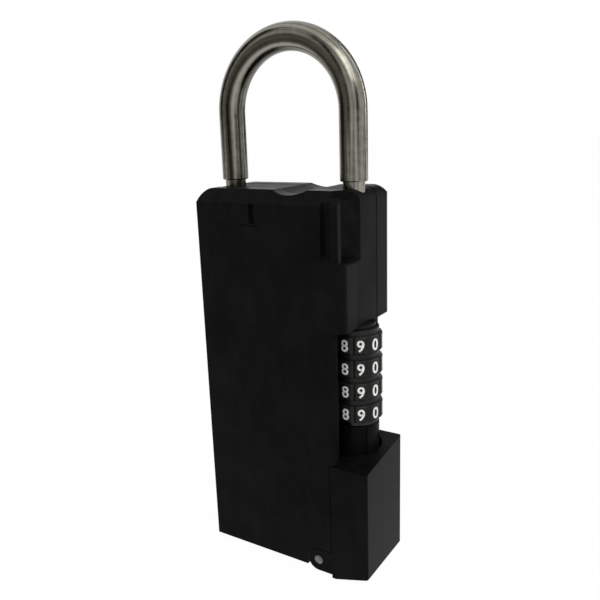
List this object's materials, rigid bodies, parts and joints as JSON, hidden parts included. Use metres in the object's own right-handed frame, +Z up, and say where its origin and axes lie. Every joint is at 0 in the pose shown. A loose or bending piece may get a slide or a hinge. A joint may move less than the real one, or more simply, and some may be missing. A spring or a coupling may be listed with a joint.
{
  "type": "portable key safe",
  "caption": "Slim black key safe with a steel shackle, side combination dials and a swing-out key drawer.",
  "frame": {"origin": "centre of the footprint, on the flat base", "axes": "+Z up along the shackle legs; the wide front faces -Y; the dials face +X"},
  "size_m": [0.065, 0.034, 0.1889],
  "materials": {
    "casting": "black powder coat",
    "cover": "satin black moulding",
    "drawer": "satin black moulding",
    "knob": "satin black moulding",
    "dial": "black with white digits",
    "slider": "red moulding",
    "shackle_steel": "drawn, satin",
    "hardened_steel": "ground",
    "spring_steel": "rolled",
    "screw_steel": "blackened",
    "pin_steel": "bright, domed by wear",
    "tray_steel": "zinc plated sheet",
    "bush": "grey nylon",
    "bush_brass": "turned"
  },
  "bodies": {
    "case": {"body_casting": "casting", "front_cover": "cover", "rear_cover": "cover", "leg_stop_pin": "hardened_steel", "bearing_plate": "hardened_steel", "spindle_bush": "bush_brass", "thrust_washer": "bush", "detent_spring": "spring_steel", "cover_screws": "screw_steel", "pivot_pin": "pin_steel"},
    "shackle": {"shackle": "shackle_steel"},
    "bolt": {"shackle_bolt": "hardened_steel"},
    "knob": {"release_knob": "knob", "spindle": "hardened_steel", "bolt_crank": "hardened_steel", "drawer_latch": "hardened_steel"},
    "drawer": {"drawer_block": "drawer", "key_tray": "tray_steel"},
    "reset": {"code_reset_slider": "slider"},
    "dial_1": {"dial_ring_1": "dial", "dial_hub_1": "bush_brass"},
    "dial_2": {"dial_ring_2": "dial", "dial_hub_2": "bush_brass"},
    "dial_3": {"dial_ring_3": "dial", "dial_hub_3": "bush_brass"},
    "dial_4": {"dial_ring_4": "dial", "dial_hub_4": "bush_brass"}
  },
  "joints": [
    {"name": "shackle_lift", "type": "slide", "parent": "case", "child": "shackle", "axis": [0, 0, 1], "range_m": [0, 0.022]},
    {"name": "knob_turn", "type": "hinge", "parent": "case", "child": "knob", "pos_m": [0.0205, 0, 0.048], "axis": [0, 0, -1], "range_deg": [-60, 0]},
    {"name": "bolt_throw", "type": "slide", "parent": "case", "child": "bolt", "axis": [-1, 0, 0], "range_m": [-0.0026, 0]},
    {"name": "drawer_swing", "type": "hinge", "parent": "case", "child": "drawer", "pos_m": [0.013, 0, 0.0055], "axis": [0, 1, 0], "range_deg": [0, 50]},
    {"name": "reset_slide", "type": "slide", "parent": "case", "child": "reset", "axis": [0, 0, 1], "range_m": [0, 0.003]},
    {"name": "dial_1_turn", "type": "hinge", "parent": "case", "child": "dial_1", "pos_m": [0.0205, 0, 0.0855], "axis": [0, 0, 1], "continuous": true},
    {"name": "dial_2_turn", "type": "hinge", "parent": "case", "child": "dial_2", "pos_m": [0.0205, 0, 0.0773], "axis": [0, 0, 1], "continuous": true},
    {"name": "dial_3_turn", "type": "hinge", "parent": "case", "child": "dial_3", "pos_m": [0.0205, 0, 0.0691], "axis": [0, 0, 1], "continuous": true},
    {"name": "dial_4_turn", "type": "hinge", "parent": "case", "child": "dial_4", "pos_m": [0.0205, 0, 0.0609], "axis": [0, 0, 1], "continuous": true}
  ],
  "couplings": [
    {"joint": "bolt_throw", "follows": "knob_turn", "m_per_rad": 0.0024828}
  ]
}
